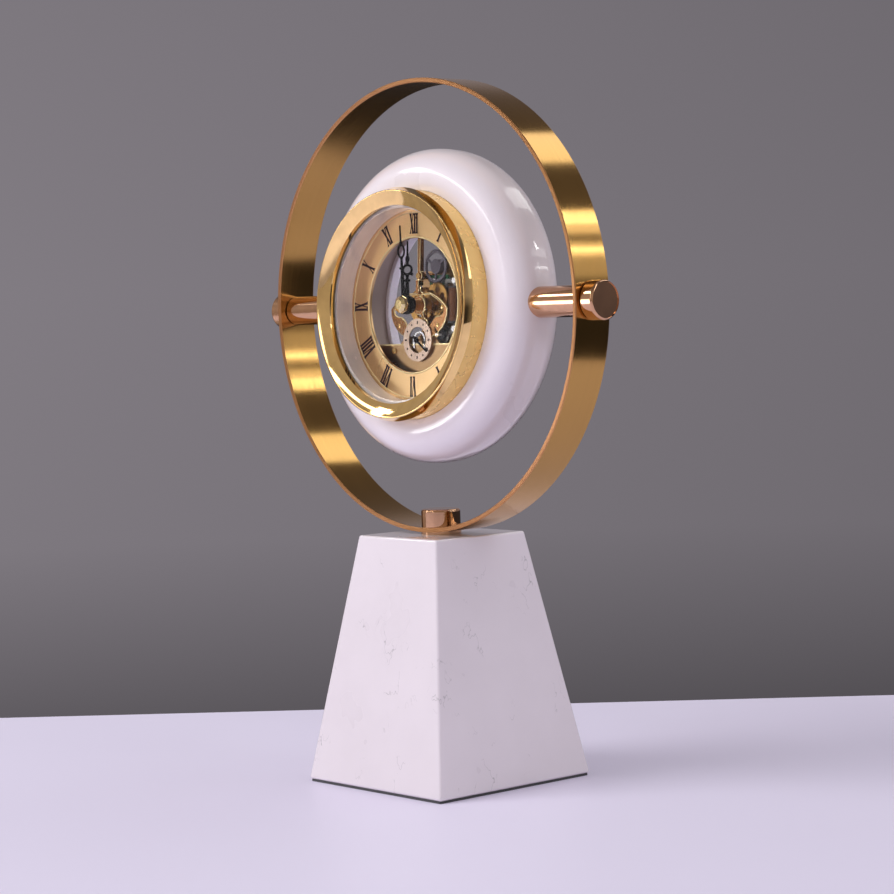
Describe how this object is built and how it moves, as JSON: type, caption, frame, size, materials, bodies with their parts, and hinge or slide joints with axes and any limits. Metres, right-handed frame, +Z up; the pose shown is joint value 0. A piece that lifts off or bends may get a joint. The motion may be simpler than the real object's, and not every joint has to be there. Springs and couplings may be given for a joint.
{
  "type": "table clock",
  "caption": "Skeleton-dial table clock whose round head tilts on side rods inside a ring, held by knobs, on a tapered square base.",
  "frame": {"origin": "middle of the underside of the base, on the surface it stands on", "axes": "+Z up, -Y out of the dial towards the viewer, +X to the viewer's right"},
  "size_m": [0.2152, 0.0888, 0.311],
  "materials": {
    "lacquer": "white gloss lacquer, smooth",
    "felt": "dark grey felt",
    "steel": "bright zinc plated",
    "rose_gold": "polished, copper plated",
    "ring_gold": "brushed along the strip, warm yellow",
    "bezel_gold": "polished yellow gold",
    "case_gold": "satin, light gold",
    "insert_brass": "turned brass",
    "glass": "clear, polished",
    "seal": "matte black",
    "wall_satin": "satin, lilac brown",
    "dial_gold": "satin gold with black printed numerals",
    "white_plastic": "white, smooth",
    "movement_gold": "polished gold plate",
    "plate_gold": "fine brushed gold plate",
    "small_dial": "pale satin with dark marks",
    "wheel_brass": "stamped brass",
    "black_metal": "black, semi-gloss",
    "dark_metal": "dark, semi-gloss",
    "black_plastic": "black, fine texture",
    "magnet": "dark grey sintered",
    "core_steel": "dull grey strip",
    "copper": "enamelled copper wire",
    "board": "green circuit board",
    "cell": "plain sleeved cell, no print"
  },
  "bodies": {
    "stand": {"base_block": "lacquer", "base_pad": "felt", "ring_stud": "steel", "base_washer": "steel", "base_nut": "steel", "saddle_washer": "rose_gold", "ring_band": "ring_gold", "ring_cap_nut": "rose_gold"},
    "head": {"head_shell": "lacquer", "side_inserts": "insert_brass", "rod_right": "rose_gold", "rod_left": "rose_gold", "case_band": "case_gold", "bezel_ring": "bezel_gold", "lens": "glass", "lens_gasket": "seal", "wall_ring": "wall_satin", "dial_ring": "dial_gold", "rear_ring": "white_plastic", "rear_ring_screws": "steel", "dial_feet": "plate_gold", "dial_screws": "steel", "lower_plate": "plate_gold", "front_bridge": "movement_gold", "strut": "movement_gold", "small_dial": "small_dial", "seconds_cock": "steel", "rear_plate": "plate_gold", "pillars": "movement_gold", "plate_screws": "steel", "battery_tray": "black_plastic", "battery": "cell", "battery_contacts": "steel", "stator": "core_steel", "coil_bobbin": "black_plastic", "coil_winding": "copper", "stator_pillars": "movement_gold", "stator_screws": "steel", "circuit_board": "board", "chip": "black_plastic", "crystal_can": "steel"},
    "knob_right": {"knob_right": "rose_gold"},
    "knob_left": {"knob_left": "rose_gold"},
    "minute_work": {"cannon_pinion": "wheel_brass", "minute_hand": "black_metal", "hub_nut": "bezel_gold"},
    "hour_work": {"hour_wheel": "wheel_brass", "hour_hand": "black_metal"},
    "motion_work": {"motion_wheel": "wheel_brass"},
    "setting_work": {"setting_wheel": "dark_metal", "set_knob": "black_plastic"},
    "seconds_work": {"seconds_wheel": "wheel_brass", "seconds_hand": "black_metal"},
    "third_work": {"third_wheel": "wheel_brass"},
    "centre_work": {"centre_wheel": "wheel_brass", "clutch_washer": "steel"},
    "inter_work": {"inter_wheel": "wheel_brass"},
    "rotor_work": {"rotor_magnet": "magnet", "rotor_pinion": "white_plastic"}
  },
  "joints": [
    {"name": "head_tilt", "type": "hinge", "parent": "stand", "child": "head", "pos_m": [0, 0, 0.211], "axis": [1, 0, 0], "continuous": true},
    {"name": "knob_right_turn", "type": "hinge", "parent": "head", "child": "knob_right", "pos_m": [0, 0, 0.211], "axis": [1, 0, 0], "range_deg": [0, 270]},
    {"name": "knob_left_turn", "type": "hinge", "parent": "head", "child": "knob_left", "pos_m": [0, 0, 0.211], "axis": [-1, 0, 0], "range_deg": [0, 270]},
    {"name": "minute_turn", "type": "hinge", "parent": "head", "child": "minute_work", "pos_m": [0, 0, 0.211], "axis": [0, 0.9986, -0.0523], "continuous": true},
    {"name": "hour_turn", "type": "hinge", "parent": "head", "child": "hour_work", "pos_m": [0, 0, 0.211], "axis": [0, 0.9986, -0.0523], "continuous": true},
    {"name": "motion_turn", "type": "hinge", "parent": "head", "child": "motion_work", "pos_m": [0.00924, 0.00014, 0.21361], "axis": [0, 0.9986, -0.0523], "continuous": true},
    {"name": "setting_turn", "type": "hinge", "parent": "head", "child": "setting_work", "pos_m": [0.00841, 0.00089, 0.22797], "axis": [0, 0.9986, -0.0523], "continuous": true},
    {"name": "seconds_turn", "type": "hinge", "parent": "head", "child": "seconds_work", "pos_m": [0, -0.0008, 0.19572], "axis": [0, 0.9986, -0.0523], "continuous": true},
    {"name": "third_turn", "type": "hinge", "parent": "head", "child": "third_work", "pos_m": [0.00425, -0.00042, 0.20307], "axis": [0, 0.9986, -0.0523], "continuous": true},
    {"name": "centre_turn", "type": "hinge", "parent": "head", "child": "centre_work", "pos_m": [0, 0, 0.211], "axis": [0, 0.9986, -0.0523], "continuous": true},
    {"name": "inter_turn", "type": "hinge", "parent": "head", "child": "inter_work", "pos_m": [0.00689, -0.00086, 0.19451], "axis": [0, 0.9986, -0.0523], "continuous": true},
    {"name": "rotor_turn", "type": "hinge", "parent": "head", "child": "rotor_work", "pos_m": [0.01175, -0.00068, 0.19803], "axis": [0, 0.9986, -0.0523], "continuous": true}
  ],
  "couplings": [
    {"joint": "hour_turn", "follows": "minute_turn", "ratio": 0.083333},
    {"joint": "motion_turn", "follows": "minute_turn", "ratio": -0.33333},
    {"joint": "setting_turn", "follows": "minute_turn", "ratio": 0.33333},
    {"joint": "third_turn", "follows": "seconds_turn", "ratio": -0.13333},
    {"joint": "centre_turn", "follows": "seconds_turn", "ratio": 0.016667},
    {"joint": "inter_turn", "follows": "seconds_turn", "ratio": -6},
    {"joint": "rotor_turn", "follows": "seconds_turn", "ratio": 30}
  ]
}
